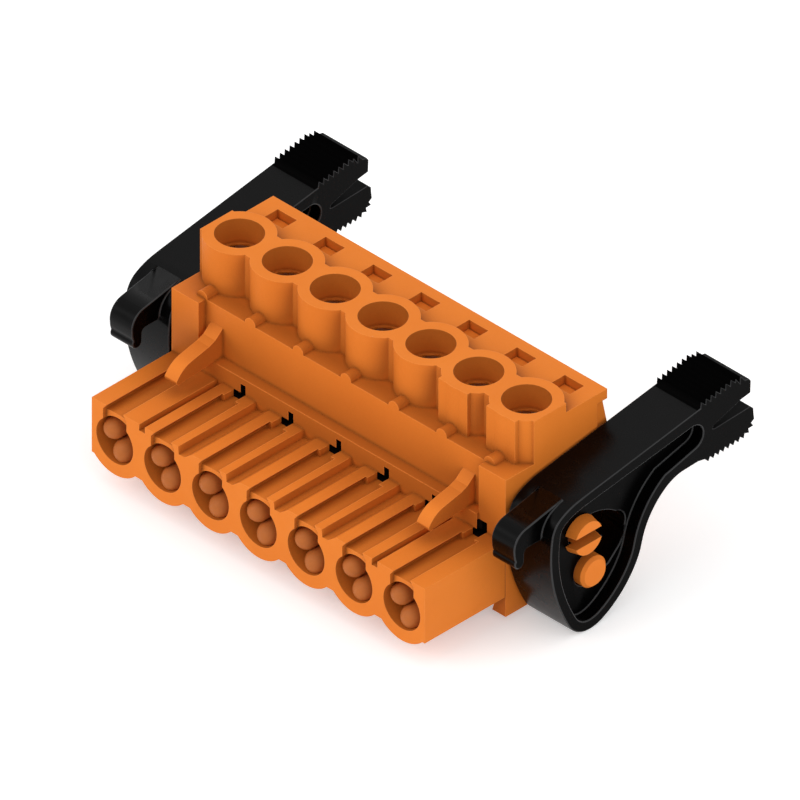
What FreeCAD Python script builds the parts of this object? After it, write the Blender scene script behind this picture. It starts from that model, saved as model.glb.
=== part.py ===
import FreeCAD, Part
import math
import os

# Seven pole pluggable screw terminal block with two release levers, in millimetres.
# X runs along the row, -Y points to the mating side, +Z is up.
# The origin is the centre of the middle driver well, at the top of the towers.

# Row of poles
pole_count = 7
pole_pitch = 5.0
end_margin = 2.45

# Body heights, measured down from the tower tops
strip_drop = 0.83
lip_thick = 0.86
ledge_drop = 3.85
step_drop = 8.15
deck_drop = 9.5
contact_drop = 12.33
scallop_radius = 3.0
scallop_flat_drop = 14.43
skid_height = 0.87

# Body depths, measured from the screw axes
wall_front = 3.9
cheek_front = 4.65
step_front = 4.87
mating_front = 13.05
body_back = 4.92
lip_back = 5.97

# Towers round the driver wells
tower_radius = 2.8
tower_web = 1.68
plate_half_width = 1.5
plate_front = 2.72
plate_poles = (6, 7)
well_radius = 1.9
well_depth = 2.1
key_radius = 0.55

# Cheeks and skids at both ends
cheek_width = 2.8
skid_width = 1.4
skid_lean = 0.25
mating_side_step = 0.05

# Windows in the rear lip
window_width = 2.0
window_front = 3.5
window_back = 5.0

# Deck of the mating part
channel_top = 0.87
channel_wide = 1.23
channel_lean = 0.45
channel_depth = 0.6
channel_end = 5.95
bridge_set_back = 0.36
opening_radius = 1.93
opening_depth = 3.3
groove_depth = 0.65
groove_left = 1.6
groove_lean = 0.1
groove_floor = 0.55
groove_right = 3.1
narrow_groove_offset = 12.15
narrow_groove_width = 0.6
narrow_groove_depth = 0.55
tunnel_left = 0.68
tunnel_right = 0.5
tunnel_length = 1.0
tunnel_slot_left = 0.04
tunnel_slot_height = 0.8

# Latch hooks in front of the wall
latch_width = 1.25
latch_left_x = -13.45
latch_right_x = 12.9
latch_top_drop = 5.58
latch_reach = 4.85
latch_tip_radius = 0.2
latch_back = [(0.0, 0.0), (0.82, 0.7), (1.45, 0.95), (3.1, 1.3)]
latch_brow = (4.05, 1.65)
latch_nose_rise = 0.1

# Clamping unit of one pole
chamber_width = 4.1
chamber_front = 2.45
chamber_floor_drop = 14.2
head_radius = 1.5
head_height = 1.9
head_clearance = 0.08
head_room_sides = 8
driver_slot_width = 0.6
driver_slot_depth = 0.9
shoulder_thick = 0.6
shank_radius = 1.25
shank_clearance = 0.08
yoke_width = 3.9
yoke_depth = 4.4
yoke_side = 0.6
yoke_top_thick = 1.1
yoke_base_thick = 0.8
yoke_bend = 0.35
yoke_thread_clearance = 0.04
wire_space = 2.6
bar_clearance = 0.05
yoke_rest_gap = 0.15

# Contact of one pole, bent from strip
strip_thick = 0.65
strip_width = 2.3
bar_top_drop = 8.6
bar_back = 2.4
leg_front = 3.4
socket_half_height = 1.7
socket_side_clearance = 0.3
seat_clearance = 0.05
finger_back = 9.91
dome_set_back = 0.94
upper_finger = (-0.89, 0.355)
upper_finger_radius = 0.87
lower_finger = (0.16, -1.38)
lower_finger_radius = 0.94
beam_width = 1.0
beam_thick = 0.6

# Wire entry cover behind the body
cover_side_step = 0.25
cover_gap = 0.05
cover_top_back = 5.69
cover_back = 6.5
cover_slope_drop = 5.5
cover_foot_chamfer = 0.7
funnel_half = 2.1
funnel_depth = 0.8
throat_radius = 1.3
tongue_thick = 0.8
tongue_reach = 1.6
tongue_nub = 0.1
plug_height = 0.8
plug_reach = 0.5

# Release levers
lever_gap = 0.2
lever_width = 4.65
lever_web = 2.4
rim = 0.9
pivot_y = 0.17
pivot_radius = 1.33
pivot_end = 4.55
pivot_clearance = 0.07
pivot_chamfer = 0.25
snap_radius = 0.95
snap_orbit = 3.71
snap_angle = 102.9
snap_head_radius = 1.6
snap_end_radius = 1.4
snap_head_length = 0.95
snap_slot = 0.95
snap_slot_start = 0.7
lever_play = 0.05
slot_clearance = 0.05
slot_eye_radius = 1.2
slot_eye_angle = 42.0
slot_bay = [(0.9, -0.95), (2.2, -0.58), (2.77, -0.04), (3.34, 0.49), (3.81, 1.16), (3.95, 1.9),
            (2.8, 2.4), (1.0, 1.9), (0.7, 1.1)]
lever_stop_margin = 2.0
arm_angle = 8.9
arm_top = 7.95
eye_start = -1.77
eye_outline = [
    (-3.71, 7.0),
    (-4.78, 5.45),
    (-4.37, -0.08),
    (-3.02, -3.26),
    (-0.55, -4.52),
    (0.68, -4.14),
    (4.02, -0.96),
    (4.64, 0.61),
    (6.99, 4.18),
    (9.07, 4.92),
    (10.75, 4.98),
]
recess_arcs = 8
recess_bend = (4.85, 3.4)
recess_crook = (6.99, 5.5)
recess_end = (9.95, 7.33)
recess_end_radius = 1.05
hook_start = -2.57
hook_sink = 0.03
hook_arcs = [
    ((-6.47, 6.73), (-7.32, 6.18), (-7.62, 5.03)),
    ((-7.62, 5.03), (-7.58, 4.6), (-7.47, 4.23)),
    ((-7.47, 4.23), (-6.97, 3.48), (-6.59, 3.88)),
    ((-6.57, 4.58), (-6.46, 4.85), (-6.22, 4.95)),
]
hook_under = (-4.2, 4.95)
tooth_pitch = 0.515
tooth_depth = 0.28
tooth_lean = 0.04
tooth_share = 0.62
top_tooth_count = 8
top_teeth_start = 10.75
grip_start = 10.55
lower_tooth_depth = 0.22
lower_teeth_start = 11.2
lower_teeth_end = 14.85
lower_teeth_height = 4.83
lower_teeth_slope = 0.05
lower_corner_radius = 1.3
lower_corner_teeth = 4
lower_corner_turn = 84.0
grip_base = 4.97
grip_outline = [
    (16.25, 6.55),
    (16.23, 6.95),
    (15.9, 7.24),
    (12.2, 7.1),
    (11.95, 7.2),
    (12.03, 7.45),
    (14.93, 8.37),
    (15.92, 8.51),
    (15.97, 9.55),
    (15.8, 9.8),
]

half_row = (pole_count - 1) / 2.0 * pole_pitch
half_width = half_row + end_margin
base_z = -contact_drop - scallop_radius
skid_z = base_z - skid_height
contact_z = -contact_drop
deck_z = -deck_drop
ledge_z = -ledge_drop
strip_z = -strip_drop
lip_z = strip_z - lip_thick
head_top_z = -well_depth - bar_clearance
shoulder_z = head_top_z - head_height - bar_clearance
chamber_top_z = shoulder_z - shoulder_thick
bar_top_z = -bar_top_drop
bar_base_z = bar_top_z - strip_thick
yoke_base_z = bar_base_z - wire_space - yoke_base_thick
yoke_inner_top_z = bar_top_z + yoke_rest_gap
wire_z = bar_base_z - wire_space / 2.0
lever_inner = half_width + lever_gap
lever_outer = lever_inner + lever_width
web_inner = lever_inner + (lever_width - lever_web) / 2.0
web_outer = web_inner + lever_web
slot_half_width = snap_radius + slot_clearance


def box(x0, x1, y0, y1, z0, z1):
    return Part.makeBox(x1 - x0, y1 - y0, z1 - z0, FreeCAD.Vector(x0, y0, z0))


def rod(start, axis, radius, length):
    return Part.makeCylinder(radius, length, FreeCAD.Vector(*start), FreeCAD.Vector(*axis))


def cone(start, axis, radius_0, radius_1, length):
    return Part.makeCone(radius_0, radius_1, length, FreeCAD.Vector(*start), FreeCAD.Vector(*axis))


def fuse_all(shapes):
    return shapes[0].multiFuse(shapes[1:]).removeSplitter()


def pole_x(number):
    return -half_row + (number - 1) * pole_pitch


def poles():
    return range(1, pole_count + 1)


def in_yz(y, z):
    return FreeCAD.Vector(0, y, z)


def line(a, b):
    return Part.LineSegment(a, b).toShape()


def arc(a, b, c):
    return Part.Arc(a, b, c).toShape()


def first(edge):
    return edge.valueAt(edge.FirstParameter)


def last(edge):
    return edge.valueAt(edge.LastParameter)


def polyline(points):
    return [line(a, b) for a, b in zip(points, points[1:])]


def extrude_yz(edges, x0, x1):
    face = Part.Face(Part.Wire(edges))
    face.translate(FreeCAD.Vector(x0, 0, 0))
    return face.extrude(FreeCAD.Vector(x1 - x0, 0, 0))


def polygon_yz(points, x0, x1):
    return extrude_yz(polyline([in_yz(*p) for p in points + points[:1]]), x0, x1)


def polygon_xz(points, y0, y1):
    corners = [FreeCAD.Vector(x, y0, z) for x, z in points + points[:1]]
    face = Part.Face(Part.Wire(polyline(corners)))
    return face.extrude(FreeCAD.Vector(0, y1 - y0, 0))


def towers():
    shapes = [box(-half_width, half_width, -tower_web, tower_web, ledge_z, 0)]
    for number in poles():
        shapes.append(rod((pole_x(number), 0, ledge_z), (0, 0, 1), tower_radius, ledge_drop))
    for number in plate_poles:
        x = pole_x(number)
        shapes.append(box(x - plate_half_width, x + plate_half_width, -plate_front, 0, ledge_z, 0))
    limits = box(-half_width, half_width, -wall_front, body_back, ledge_z, 0)
    return fuse_all(shapes).common(limits)


def ledge_keys():
    keys = []
    for number in poles():
        start = (pole_x(number), -wall_front, ledge_z)
        keys.append(rod(start, (0, 1, 0), key_radius, wall_front - tower_web))
    return keys


def mating_block():
    side = half_width - mating_side_step
    back = -chamber_front
    shapes = [box(-side, side, -mating_front, back, -scallop_flat_drop, deck_z)]
    for number in poles():
        start = (pole_x(number), -mating_front, contact_z)
        shapes.append(rod(start, (0, 1, 0), scallop_radius, mating_front + back))
    limits = box(-side, side, -mating_front, back, base_z, deck_z)
    return fuse_all(shapes).common(limits)


def skid(side):
    outer = side * half_width
    inner = side * (half_width - skid_width)
    points = [(outer, skid_z), (inner, skid_z), (inner + side * skid_lean, base_z), (outer, base_z)]
    return polygon_xz(points, -cheek_front, body_back)


def cheek(side):
    x0, x1 = sorted((side * half_width, side * (half_width - cheek_width)))
    low = box(x0, x1, -cheek_front, -wall_front, deck_z - channel_depth, ledge_z)
    x0, x1 = sorted((side * half_width, side * (half_width - skid_width)))
    return low.fuse(box(x0, x1, -cheek_front, -wall_front, base_z, ledge_z))


def latch_point(place):
    return in_yz(-wall_front - place[0], -latch_top_drop - place[1])


def latch(x):
    tip_y = -wall_front - latch_reach
    under = -step_drop
    edges = polyline([latch_point(place) for place in latch_back])
    nose_end = in_yz(tip_y, under + latch_nose_rise)
    tip_mid = in_yz(tip_y + latch_tip_radius / 2.0, under - latch_tip_radius)
    tip_end = in_yz(tip_y + 2.5 * latch_tip_radius, under - latch_tip_radius)
    edges.append(arc(last(edges[-1]), latch_point(latch_brow), nose_end))
    edges.append(arc(nose_end, tip_mid, tip_end))
    foot = [tip_end, in_yz(-step_front, under), in_yz(-wall_front, under), first(edges[0])]
    edges.extend(polyline(foot))
    return extrude_yz(edges, x - latch_width / 2.0, x + latch_width / 2.0)


def pivot_pins(side):
    start = (side * half_width, pivot_y, contact_z)
    axis = (side, 0, 0)
    pivot = rod(start, axis, pivot_radius, pivot_end - pivot_chamfer)
    end_start = (side * (half_width + pivot_end - pivot_chamfer), pivot_y, contact_z)
    end = cone(end_start, axis, pivot_radius, pivot_radius - pivot_chamfer, pivot_chamfer)
    y, z = snap_centre()
    neck_length = web_outer + lever_play - half_width
    neck = rod((side * half_width, y, z), axis, snap_radius, neck_length)
    head_start = (side * (half_width + neck_length), y, z)
    head = cone(head_start, axis, snap_head_radius, snap_end_radius, snap_head_length)
    x0, x1 = sorted((side * (half_width + snap_slot_start), side * (lever_outer + 1)))
    split = box(x0, x1, y - snap_head_radius, y + snap_head_radius, z - snap_slot / 2.0, z + snap_slot / 2.0)
    return [pivot.fuse(end), neck.fuse(head).cut(split)]


def snap_centre():
    angle = math.radians(snap_angle)
    return pivot_y + snap_orbit * math.cos(angle), contact_z + snap_orbit * math.sin(angle)


def body_solid():
    shapes = [
        box(-half_width, half_width, -wall_front, body_back, base_z, ledge_z),
        box(-half_width, half_width, 0, body_back, ledge_z, strip_z),
        box(-half_width, half_width, 0, lip_back, lip_z, strip_z),
        box(-half_width + cheek_width, half_width - cheek_width, -step_front, -wall_front, deck_z, -step_drop),
        towers(),
        mating_block(),
        latch(latch_left_x),
        latch(latch_right_x),
    ]
    shapes.extend(ledge_keys())
    for side in (-1, 1):
        shapes.append(skid(side))
        shapes.append(cheek(side))
        shapes.extend(pivot_pins(side))
    return fuse_all(shapes)


def head_room(x):
    turn = 2 * math.pi / head_room_sides
    reach = (head_radius + head_clearance) / math.cos(turn / 2.0)
    corners = []
    for number in range(head_room_sides + 1):
        angle = (number + 0.5) * turn
        corners.append(FreeCAD.Vector(x + reach * math.cos(angle), reach * math.sin(angle), shoulder_z))
    return Part.Face(Part.Wire(polyline(corners))).extrude(FreeCAD.Vector(0, 0, -well_depth - shoulder_z))


def well_cuts(x):
    shank_room = shank_radius + shank_clearance
    return [
        rod((x, 0, -well_depth), (0, 0, 1), well_radius, well_depth + 1),
        head_room(x),
        box(x - shank_room, x + shank_room, -shank_room, shank_room, chamber_top_z, shoulder_z),
    ]


def chamber_cuts(x):
    half = chamber_width / 2.0
    socket = strip_width / 2.0 + socket_side_clearance
    leg = strip_width / 2.0 + seat_clearance
    floor = contact_z - socket_half_height - seat_clearance
    roof = contact_z + socket_half_height + seat_clearance
    bar_roof = bar_top_z + seat_clearance
    leg_wall = -leg_front - seat_clearance
    return [
        box(x - half, x + half, -chamber_front, body_back + 1, -chamber_floor_drop, chamber_top_z),
        box(x - leg, x + leg, leg_wall, -chamber_front, floor, bar_roof),
        box(x - socket, x + socket, -mating_front + opening_depth, leg_wall, floor, roof),
        rod((x, -mating_front - 1, contact_z), (0, 1, 0), opening_radius, opening_depth + 1),
    ]


def deck_cuts(x):
    front = -mating_front - 1
    floor = deck_z - channel_depth
    lean_z = deck_z - channel_lean
    dovetail = [
        (x - channel_top, deck_z + 1),
        (x - channel_top, deck_z),
        (x - channel_wide, lean_z),
        (x - channel_wide, floor),
        (x + channel_wide, floor),
        (x + channel_wide, lean_z),
        (x + channel_top, deck_z),
        (x + channel_top, deck_z + 1),
    ]
    meet_z = contact_z + math.sqrt(opening_radius ** 2 - channel_wide ** 2)
    tunnel_back = -step_front + tunnel_length
    return [
        polygon_xz(dovetail, front, -channel_end),
        box(x - channel_wide, x + channel_wide, front, -mating_front + bridge_set_back, meet_z, floor),
        box(x - tunnel_left, x + tunnel_right, -channel_end, tunnel_back, floor, deck_z),
        box(x - tunnel_left, x + tunnel_right, -channel_end, -step_front, deck_z, deck_z + 1),
        box(x - tunnel_slot_left, x + tunnel_right, -step_front, tunnel_back, deck_z,
            deck_z + tunnel_slot_height),
    ]


def window_cut(x):
    half = window_width / 2.0
    return box(x - half, x + half, window_front, window_back, lip_z, 1)


def tongue_cut(x):
    half = window_width / 2.0
    return box(x - half, x + half, body_back - tongue_reach - seat_clearance, body_back + 1,
               lip_z - tongue_thick - seat_clearance, lip_z)


def wide_groove(number):
    x = pole_x(number)
    floor = deck_z - groove_depth
    points = [
        (x + groove_left, deck_z),
        (x + groove_left + groove_lean, floor),
        (x + groove_left + groove_lean + groove_floor, floor),
        (x + groove_right, deck_z),
        (x + groove_right, deck_z + 1),
        (x + groove_left, deck_z + 1),
    ]
    return polygon_xz(points, -mating_front - 1, -step_front)


def narrow_groove(side):
    x = side * narrow_groove_offset
    half = narrow_groove_width / 2.0
    return box(x - half, x + half, -mating_front - 1, -step_front, deck_z - narrow_groove_depth, deck_z + 1)


def rear_cuts(x):
    return [window_cut(x), tongue_cut(x)]


def housing():
    shape = body_solid()
    for cuts in (well_cuts, chamber_cuts, deck_cuts, rear_cuts):
        tools = []
        for number in poles():
            tools.extend(cuts(pole_x(number)))
        shape = shape.cut(tools)
    grooves = [wide_groove(number) for number in range(2, pole_count - 1)]
    return shape.cut(grooves + [narrow_groove(-1), narrow_groove(1)])


def cover_plate():
    side = half_width - cover_side_step
    top = lip_z - cover_gap
    points = [
        (body_back + cover_gap, top),
        (cover_top_back, top),
        (cover_back, -cover_slope_drop),
        (cover_back, base_z + cover_foot_chamfer),
        (cover_back - cover_foot_chamfer, base_z),
        (body_back + cover_gap, base_z),
    ]
    return polygon_yz(points, -side, side)


def cover_tongue(x):
    half = window_width / 2.0 - seat_clearance
    top = lip_z - cover_gap
    front = body_back - tongue_reach
    strip = box(x - half, x + half, front, cover_top_back, top - tongue_thick + cover_gap, top)
    nub = box(x - half, x + half, window_front + seat_clearance, window_back - 2 * seat_clearance,
              top, lip_z + tongue_nub)
    return strip.fuse(nub)


def cover_plug(x):
    half = chamber_width / 2.0 - seat_clearance
    floor = -chamber_floor_drop + seat_clearance
    return box(x - half, x + half, body_back - plug_reach, body_back + cover_gap, floor, floor + plug_height)


def funnel_cuts(x):
    throat_start = (x, body_back - 1, wire_z)
    throat = rod(throat_start, (0, 1, 0), throat_radius, cover_back - body_back + 2)
    mouth = Part.makeWedge(
        x - throat_radius, cover_back - funnel_depth, wire_z - throat_radius,
        wire_z - funnel_half, x - funnel_half,
        x + throat_radius, cover_back, wire_z + throat_radius,
        wire_z + funnel_half, x + funnel_half)
    return [throat, mouth]


def wire_cover():
    shapes = [cover_plate()]
    cuts = []
    for number in poles():
        x = pole_x(number)
        shapes.append(cover_tongue(x))
        shapes.append(cover_plug(x))
        cuts.extend(funnel_cuts(x))
    return fuse_all(shapes).cut(cuts)


def screw(x):
    head = rod((x, 0, head_top_z - head_height), (0, 0, 1), head_radius, head_height)
    tip_z = bar_top_z + bar_clearance
    shank = rod((x, 0, tip_z), (0, 0, 1), shank_radius, head_top_z - head_height - tip_z)
    half = driver_slot_width / 2.0
    slot = box(x - head_radius, x + head_radius, -half, half, head_top_z - driver_slot_depth, head_top_z)
    return fuse_all([head, shank]).cut(slot)


def clamp_yoke(x):
    half = yoke_width / 2.0
    top = yoke_inner_top_z + yoke_top_thick
    frame = box(x - half, x + half, -yoke_depth / 2.0, yoke_depth / 2.0, yoke_base_z, top)
    corners = [edge for edge in frame.Edges if abs(edge.tangentAt(edge.FirstParameter).y) > 0.9]
    frame = frame.makeChamfer(yoke_bend, corners)
    inner = half - yoke_side
    floor = yoke_base_z + yoke_base_thick
    window = box(x - inner, x + inner, -yoke_depth, yoke_depth, floor, yoke_inner_top_z)
    thread = rod((x, 0, yoke_inner_top_z), (0, 0, 1), shank_radius + yoke_thread_clearance, yoke_top_thick)
    return frame.cut([window, thread])


def spring_finger(x, place, radius):
    centre_x = x + place[0]
    centre_z = contact_z + place[1]
    dome_y = -mating_front + dome_set_back
    barrel = rod((centre_x, -mating_front, centre_z), (0, 1, 0), radius, mating_front - finger_back)
    nose = rod((centre_x - radius, dome_y, centre_z), (1, 0, 0), radius, 2 * radius)
    stem = box(centre_x - radius, centre_x + radius, dome_y, -finger_back, centre_z - radius, centre_z + radius)
    left = max(centre_x - beam_width / 2.0, x - strip_width / 2.0)
    right = min(centre_x + beam_width / 2.0, x + strip_width / 2.0)
    beam_z = centre_z - beam_thick / 2.0
    beam = box(left, right, -finger_back, -leg_front + strip_thick, beam_z, beam_z + beam_thick)
    return barrel.common(nose.fuse(stem)).fuse(beam)


def contact(x):
    half = strip_width / 2.0
    bar = box(x - half, x + half, -leg_front, bar_back, bar_base_z, bar_top_z)
    leg = box(x - half, x + half, -leg_front, -leg_front + strip_thick,
              contact_z - socket_half_height, bar_top_z)
    upper = spring_finger(x, upper_finger, upper_finger_radius)
    lower = spring_finger(x, lower_finger, lower_finger_radius)
    room = rod((x, -mating_front, contact_z), (0, 1, 0), opening_radius - seat_clearance, mating_front)
    return fuse_all([bar, leg, upper.common(room), lower.common(room)])


def lever_point(y, z):
    return in_yz(pivot_y + y, contact_z + z)


def arm_line(y):
    return arm_top + math.tan(math.radians(arm_angle)) * y


def tangent_arcs(start, heading, ends, offset):
    edges = []
    y, z = start
    for end_y, end_z in ends:
        chord = math.hypot(end_y - y, end_z - z)
        half_turn = math.atan2(end_z - z, end_y - y) - heading
        half_turn = (half_turn + math.pi) % (2 * math.pi) - math.pi
        radius = chord / (2 * math.sin(half_turn))
        centre_y = y - radius * math.sin(heading)
        centre_z = z + radius * math.cos(heading)
        corners = []
        for turn in (0, half_turn, 2 * half_turn):
            angle = heading + turn
            reach = radius - offset
            corners.append(lever_point(centre_y + reach * math.sin(angle), centre_z - reach * math.cos(angle)))
        edges.append(arc(*corners))
        heading = heading + 2 * half_turn
        y, z = end_y, end_z
    return edges


def eye_arcs(count, offset):
    start = (eye_start, arm_line(eye_start))
    heading = math.radians(arm_angle) - math.pi
    return tangent_arcs(start, heading, eye_outline[:count], offset)


def lever_frame():
    edges = eye_arcs(len(eye_outline), 0)
    arm_end = eye_outline[-1][0]
    top_end = lever_point(arm_end, arm_line(arm_end))
    edges.append(line(last(edges[-1]), top_end))
    edges.append(line(top_end, first(edges[0])))
    return extrude_yz(edges, lever_inner, lever_outer)


def lever_recess(x0, x1):
    edges = eye_arcs(recess_arcs, rim)
    centre = lever_point(*recess_end)
    radius = recess_end_radius
    corners = []
    for degrees in (-75, 0, 90 + arm_angle):
        angle = math.radians(degrees)
        corners.append(centre + FreeCAD.Vector(0, radius * math.cos(angle), radius * math.sin(angle)))
    crook = lever_point(*recess_crook)
    edges.append(arc(last(edges[-1]), lever_point(*recess_bend), crook))
    edges.append(line(crook, corners[0]))
    edges.append(arc(*corners))
    edges.append(line(corners[2], first(edges[0])))
    return extrude_yz(edges, x0, x1)


def lever_hook():
    edges = []
    for corners in hook_arcs:
        bend = arc(*[lever_point(*place) for place in corners])
        if edges and (first(bend) - last(edges[-1])).Length > seat_clearance:
            edges.append(line(last(edges[-1]), first(bend)))
        edges.append(bend)
    root = lever_point(hook_start, arm_line(hook_start) - hook_sink)
    edges.extend(polyline([last(edges[-1]), lever_point(*hook_under), root, first(edges[0])]))
    return extrude_yz(edges, web_inner, web_outer)


def top_teeth():
    points = []
    for step in range(top_tooth_count):
        y = top_teeth_start + step * tooth_pitch
        points.append((y, arm_line(y)))
        points.append((y + tooth_lean, arm_line(y) + tooth_depth))
    return points


def lower_teeth():
    points = []
    run = lower_teeth_end - lower_teeth_start
    count = int(round(run / tooth_pitch))
    for step in range(count):
        y = lower_teeth_start + run * step / count
        z = lower_teeth_height + lower_teeth_slope * (y - lower_teeth_start)
        points.append((y, z))
        points.append((y + tooth_share * run / count, z - lower_tooth_depth))
    centre_z = lower_teeth_height + lower_teeth_slope * run + lower_corner_radius
    for step in range(lower_corner_teeth):
        for share, reach in ((0.0, 0.0), (tooth_share, lower_tooth_depth)):
            angle = math.radians(-90 + lower_corner_turn * (step + share) / lower_corner_teeth)
            y = lower_teeth_end + (lower_corner_radius + reach) * math.cos(angle)
            points.append((y, centre_z + (lower_corner_radius + reach) * math.sin(angle)))
    return points


def lever_grip():
    points = [(grip_start, grip_base)]
    points.extend(lower_teeth())
    points.extend(grip_outline)
    points.extend(reversed(top_teeth()))
    points.append((grip_start, arm_line(grip_start)))
    edges = polyline([lever_point(*p) for p in points + points[:1]])
    return extrude_yz(edges, lever_inner, lever_outer)


def ring_sector(radius_0, radius_1, angle_0, angle_1, x0, x1):
    corners = []
    for radius in (radius_0, radius_1):
        for angle in (angle_0, (angle_0 + angle_1) / 2.0, angle_1):
            turn = math.radians(angle)
            corners.append(lever_point(radius * math.cos(turn), radius * math.sin(turn)))
    edges = [
        arc(corners[0], corners[1], corners[2]),
        line(corners[2], corners[5]),
        arc(corners[5], corners[4], corners[3]),
        line(corners[3], corners[0]),
    ]
    return extrude_yz(edges, x0, x1)


def lever_holes():
    x0 = web_inner - lever_play
    x1 = web_outer + lever_play
    length = x1 - x0
    pivot = rod((x0, pivot_y, contact_z), (1, 0, 0), pivot_radius + pivot_clearance, length)
    rest_angle = snap_angle + lever_stop_margin
    inner = snap_orbit - slot_half_width
    outer = snap_orbit + slot_half_width
    shapes = [pivot, ring_sector(inner, outer, slot_eye_angle, rest_angle, x0, x1)]
    for angle, radius in ((slot_eye_angle, slot_eye_radius), (rest_angle, slot_half_width)):
        turn = math.radians(angle)
        y = pivot_y + snap_orbit * math.cos(turn)
        z = contact_z + snap_orbit * math.sin(turn)
        shapes.append(rod((x0, y, z), (1, 0, 0), radius, length))
    bay = polyline([lever_point(*place) for place in slot_bay + slot_bay[:1]])
    shapes.append(extrude_yz(bay, x0, x1))
    return fuse_all(shapes)


def lever(side):
    shape = fuse_all([lever_frame(), lever_grip()])
    shape = shape.cut(lever_recess(lever_inner - 1, web_inner))
    shape = shape.cut(lever_recess(web_outer, lever_outer + 1))
    shape = shape.fuse(lever_hook()).removeSplitter()
    shape = shape.cut(lever_holes())
    if side < 0:
        shape = shape.mirror(FreeCAD.Vector(0, 0, 0), FreeCAD.Vector(1, 0, 0))
    return shape


def save(name, shape):
    solids = shape.Solids
    if len(solids) == 1:
        shape = solids[0]
    print(name, len(solids), shape.isValid(), round(shape.Volume, 3))
    shape.exportStep(os.path.join("parts", name + ".step"))


def main():
    os.makedirs("parts", exist_ok=True)
    save("housing", housing())
    save("wire_cover", wire_cover())
    save("lever_left", lever(-1))
    save("lever_right", lever(1))
    for number in poles():
        x = pole_x(number)
        save("screw_%d" % number, screw(x))
        save("clamp_yoke_%d" % number, clamp_yoke(x))
        save("contact_%d" % number, contact(x))


main()
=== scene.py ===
"""Finishes, clamp screws and a studio stage for a pluggable terminal block with release levers."""

import math

import bmesh
import bpy
from mathutils import Matrix, Vector


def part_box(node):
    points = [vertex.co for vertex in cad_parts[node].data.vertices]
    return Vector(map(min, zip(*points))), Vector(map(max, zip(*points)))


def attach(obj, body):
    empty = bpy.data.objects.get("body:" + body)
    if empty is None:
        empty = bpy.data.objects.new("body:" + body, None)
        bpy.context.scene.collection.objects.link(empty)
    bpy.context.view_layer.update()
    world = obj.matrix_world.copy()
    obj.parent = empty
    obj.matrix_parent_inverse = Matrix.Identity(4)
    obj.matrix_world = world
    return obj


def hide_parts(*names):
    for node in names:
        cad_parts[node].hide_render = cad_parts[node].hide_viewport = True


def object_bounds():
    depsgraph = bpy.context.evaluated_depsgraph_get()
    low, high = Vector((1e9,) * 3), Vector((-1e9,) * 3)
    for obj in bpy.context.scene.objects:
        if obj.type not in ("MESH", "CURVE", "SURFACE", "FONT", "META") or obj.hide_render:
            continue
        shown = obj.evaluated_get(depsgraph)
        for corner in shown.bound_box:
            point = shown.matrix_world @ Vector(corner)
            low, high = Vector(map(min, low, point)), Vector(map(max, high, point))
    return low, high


bl_info = {
    "name": "Pluggable Terminal Block",
    "version": (1, 0, 0),
    "blender": (4, 5, 0),
    "location": "View3D > Sidebar > Terminal Block",
    "description": "Finishes, clamp screws and stage for a pluggable terminal block",
    "category": "Object",
}

MM = 0.001
POLES = range(1, 8)
MIDDLE_POLE = 4
POLE_PITCH = 5.0 * MM
JOIN_DISTANCE = 1e-6
CUT_DISTANCE = 1e-7
SMOOTH_ANGLE = math.radians(35.0)
# Painted shade: the near-black painted on the walls of the tunnels under the step
TUNNEL_SHADE_BLACK = (0.004, 0.003, 0.003, 1.0)

# Finishes: scales of the noises, per metre, limits of the masks and how strong they are; the
# hollow, crease and rim masks paint shade and highlight into the colour
FLOW_NOISE, GLOSS_NOISE, SPARK_NOISE = 180.0, 900.0, 9000.0
LINE_NOISE, PATCH_NOISE = 2500.0, 700.0
EDGE_LIMITS, HOLLOW_SHADE_LIMITS = (0.80, 0.985), (0.54, 1.0)
CREASE_SHADE_LIMITS, RIM_HIGHLIGHT_LIMITS = (0.45, 0.86), (0.93, 0.99)
DEEPEST_SHADE_AT, DEEPEST_SHADE_STRENGTH = 0.10, 0.20
CREASE_SHADE_STRENGTH, CREASE_SHADE_TONE = 0.65, 0.62
RIM_HIGHLIGHT_GAIN, RIM_HIGHLIGHT_WIDTH = (1.12, 1.25, 1.9), 1.6
ORANGE_IOR, ORANGE_GLOSS, BLACK_GLOSS = 1.5, 0.08, 0.5
LEVER_GRAIN = 0.4

# Stage
FLOOR_HALF_WIDTH = 1.5
FLOOR_GLOW = 0.35
STAND_OFF = 0.4

# Small tunnels where the deck's channels go under the step; their walls get painted shade
TUNNEL_LEFT, TUNNEL_RIGHT = -0.70 * MM, 0.52 * MM
TUNNEL_FRONT, TUNNEL_BACK = -4.95 * MM, -3.80 * MM
TUNNEL_FLOOR, TUNNEL_TOP = -10.2 * MM, -8.68 * MM
DECK_Z, STEP_Y = -9.52 * MM, -4.85 * MM

# Toothed grips of the release levers; the last teeth are bends, each at a place along the
# grip and a height, in millimetres
GRIP_FRONT = 10.6 * MM
RECESS_END, RECESS_END_ROOM = (10.12 * MM, -5.0 * MM), 1.3 * MM
UPPER_JAW_Z = -3.6 * MM
UPPER_ROW_END = 14.6 * MM
LAST_TEETH = ((15.01, -2.48), (15.05, -1.86), (15.53, -2.44), (15.57, -2.00))
UPPER_TOOTH_RISE, LOWER_TOOTH_RISE = 0.25 * MM, 0.16 * MM
WIDEST_FLANK = 0.65 * MM
SHARP_EDGE = 1.2
TOOTH_ROUNDING = 0.3

# Round spring fingers in the sockets: place across and up from the pole, and radius
FINGERS = (((-0.89 * MM, 0.355 * MM), 0.87 * MM), ((0.19 * MM, -1.25 * MM), 1.00 * MM))
FINGER_TIP, FINGER_BACK = -12.98 * MM, -9.90 * MM
FINGER_SEAT = 0.05 * MM
SOCKET_Z, SOCKET_ROOM = -12.33 * MM, 1.88 * MM
ROOM_SIDES = 24

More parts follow.
